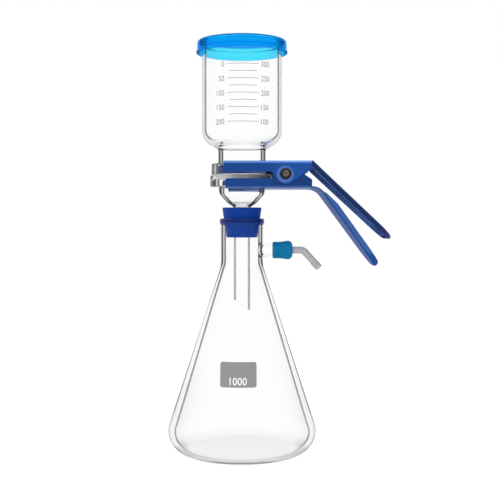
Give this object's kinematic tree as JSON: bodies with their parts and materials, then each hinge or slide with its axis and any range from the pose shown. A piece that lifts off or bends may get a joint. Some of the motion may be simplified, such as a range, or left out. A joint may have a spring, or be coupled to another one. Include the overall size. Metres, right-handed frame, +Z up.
{
  "type": "vacuum filtration unit",
  "caption": "Glass vacuum filtration unit: conical receiving flask with side arm, stopper, frit base, graduated funnel cup, lid and spring clamp.",
  "frame": {"origin": "flask axis at the plane of its flat base", "axes": "+Z up along the glassware axis, +X towards the side arm and the clamp handles"},
  "size_m": [0.2069, 0.138, 0.3845],
  "materials": {
    "clear_glass": "clear borosilicate, fire polished",
    "sintered_glass": "matt sintered",
    "blue_silicone": "satin",
    "lid_plastic": "translucent, glossy",
    "blue_anodised": "blue anodised",
    "pin_steel": "bright",
    "black_steel": "black oxide",
    "spring_steel": "drawn wire",
    "seal_silicone": "matt",
    "cap_plastic": "moulded",
    "nozzle_plastic": "natural, slightly translucent"
  },
  "bodies": {
    "glassware": {"filter_flask": "clear_glass", "flask_stopper": "blue_silicone", "filter_base": "clear_glass", "frit_disc": "sintered_glass", "funnel_cup": "clear_glass", "cup_lid": "lid_plastic", "clamp_lower_lever": "blue_anodised", "clamp_pivot_rod": "pin_steel", "clamp_retainer_front": "black_steel", "clamp_retainer_rear": "black_steel", "clamp_spring": "spring_steel"},
    "upper_lever": {"clamp_upper_lever": "blue_anodised"},
    "hose_seal": {"hose_seal_ring": "seal_silicone"},
    "screw_cap": {"hose_screw_cap": "cap_plastic"},
    "nozzle": {"hose_nozzle": "nozzle_plastic"}
  },
  "joints": [
    {"name": "clamp_pivot", "type": "hinge", "parent": "glassware", "child": "upper_lever", "pos_m": [0.0398, 0, 0.2597], "axis": [0, 1, 0], "range_deg": [0, 8.5], "stiffness_Nm_per_rad": 2, "springref_deg": -40.11, "deforming": ["clamp_spring"]},
    {"name": "cap_draw", "type": "slide", "parent": "glassware", "child": "hose_seal", "axis": [1, 0, 0], "range_m": [0, 0.005]},
    {"name": "cap_screw", "type": "hinge", "parent": "hose_seal", "child": "screw_cap", "pos_m": [0.0416, 0, 0.1898], "axis": [1, 0, 0], "range_deg": [0, 720]},
    {"name": "nozzle_swivel", "type": "hinge", "parent": "hose_seal", "child": "nozzle", "pos_m": [0.0416, 0, 0.1898], "axis": [1, 0, 0], "continuous": true}
  ],
  "couplings": [
    {"joint": "cap_draw", "follows": "cap_screw", "m_per_rad": 0.00039789}
  ]
}
